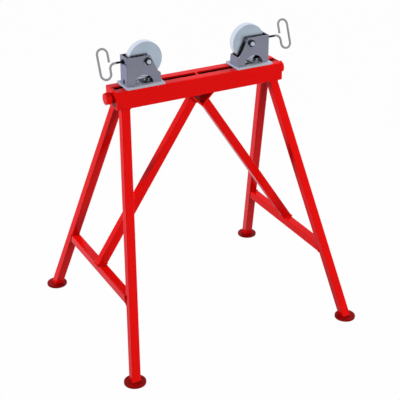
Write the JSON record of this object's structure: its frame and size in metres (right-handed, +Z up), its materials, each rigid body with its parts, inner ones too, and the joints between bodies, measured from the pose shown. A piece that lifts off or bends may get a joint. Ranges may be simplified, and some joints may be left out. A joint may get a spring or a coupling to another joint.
{
  "type": "adjustable pipe stand",
  "caption": "Four-legged steel tube stand with a slotted beam on top carrying rollers in open brackets with bent-wire brake grips, for supporting pipe.",
  "frame": {"origin": "middle of the foot pattern on the floor", "axes": "+X along the beam, +Y from the viewer's side to the rear, +Z up"},
  "size_m": [0.7792, 0.6698, 0.8848],
  "materials": {
    "red_enamel": "gloss red enamel on steel",
    "grey_enamel": "blue grey satin enamel on steel plate",
    "light_grey_enamel": "light blue grey satin enamel on steel plate",
    "plated_roller_steel": "zinc plated turned steel",
    "zinc_plated_steel": "bright zinc plated steel",
    "machined_steel": "oiled machined steel",
    "bronze": "plain bearing bronze"
  },
  "bodies": {
    "frame": {"beam": "red_enamel", "end_plate_left": "red_enamel", "end_plate_right": "red_enamel", "end_bushes": "bronze", "centre_bearing": "red_enamel", "leg_front_left": "red_enamel", "leg_front_right": "red_enamel", "leg_rear_left": "red_enamel", "leg_rear_right": "red_enamel", "foot_front_left": "red_enamel", "foot_front_right": "red_enamel", "foot_rear_left": "red_enamel", "foot_rear_right": "red_enamel", "cross_bar_left": "red_enamel", "cross_bar_right": "red_enamel", "brace_left": "red_enamel", "brace_right": "red_enamel", "brace_saddle": "red_enamel"},
    "lead_screw": {"lead_screw": "machined_steel", "thrust_collars": "machined_steel", "drive_hex_right": "red_enamel", "drive_pin": "machined_steel"},
    "left_head": {"base_plate_left": "light_grey_enamel", "bracket_left": "grey_enamel", "guard_plate_left": "grey_enamel", "nut_block_left": "machined_steel", "mounting_bolts_left": "zinc_plated_steel", "mounting_washers_left": "zinc_plated_steel", "axle_left": "zinc_plated_steel", "axle_nut_left": "zinc_plated_steel", "axle_washers_left": "zinc_plated_steel", "roller_spacers_left": "zinc_plated_steel", "brake_nut_left": "zinc_plated_steel"},
    "left_roller": {"roller_left": "plated_roller_steel", "roller_bush_left": "bronze"},
    "left_brake": {"brake_screw_left": "zinc_plated_steel"},
    "right_head": {"base_plate_right": "light_grey_enamel", "bracket_right": "grey_enamel", "guard_plate_right": "grey_enamel", "nut_block_right": "machined_steel", "mounting_bolts_right": "zinc_plated_steel", "mounting_washers_right": "zinc_plated_steel", "axle_right": "zinc_plated_steel", "axle_nut_right": "zinc_plated_steel", "axle_washers_right": "zinc_plated_steel", "roller_spacers_right": "zinc_plated_steel", "brake_nut_right": "zinc_plated_steel"},
    "right_roller": {"roller_right": "plated_roller_steel", "roller_bush_right": "bronze"},
    "right_brake": {"brake_screw_right": "zinc_plated_steel"}
  },
  "joints": [
    {"name": "screw_turn", "type": "hinge", "parent": "frame", "child": "lead_screw", "pos_m": [0, 0, 0.73525], "axis": [1, 0, 0], "range_deg": [-2126.5, 8930.5]},
    {"name": "left_head_slide", "type": "slide", "parent": "frame", "child": "left_head", "axis": [1, 0, 0], "range_m": [-0.025, 0.105]},
    {"name": "right_head_slide", "type": "slide", "parent": "frame", "child": "right_head", "axis": [-1, 0, 0], "range_m": [-0.025, 0.105]},
    {"name": "left_roller_spin", "type": "hinge", "parent": "left_head", "child": "left_roller", "pos_m": [-0.1645, 0, 0.834], "axis": [0, 1, 0], "continuous": true},
    {"name": "left_brake_turn", "type": "hinge", "parent": "left_head", "child": "left_brake", "pos_m": [-0.2265, 0, 0.834], "axis": [1, 0, 0], "range_deg": [-360, 420]},
    {"name": "right_roller_spin", "type": "hinge", "parent": "right_head", "child": "right_roller", "pos_m": [0.1645, 0, 0.834], "axis": [0, 1, 0], "continuous": true},
    {"name": "right_brake_turn", "type": "hinge", "parent": "right_head", "child": "right_brake", "pos_m": [0.2265, 0, 0.834], "axis": [1, 0, 0], "range_deg": [-360, 420]}
  ],
  "couplings": [
    {"joint": "right_head_slide", "follows": "left_head_slide", "ratio": 1},
    {"joint": "screw_turn", "follows": "left_head_slide", "rad_per_m": 1484.3}
  ]
}
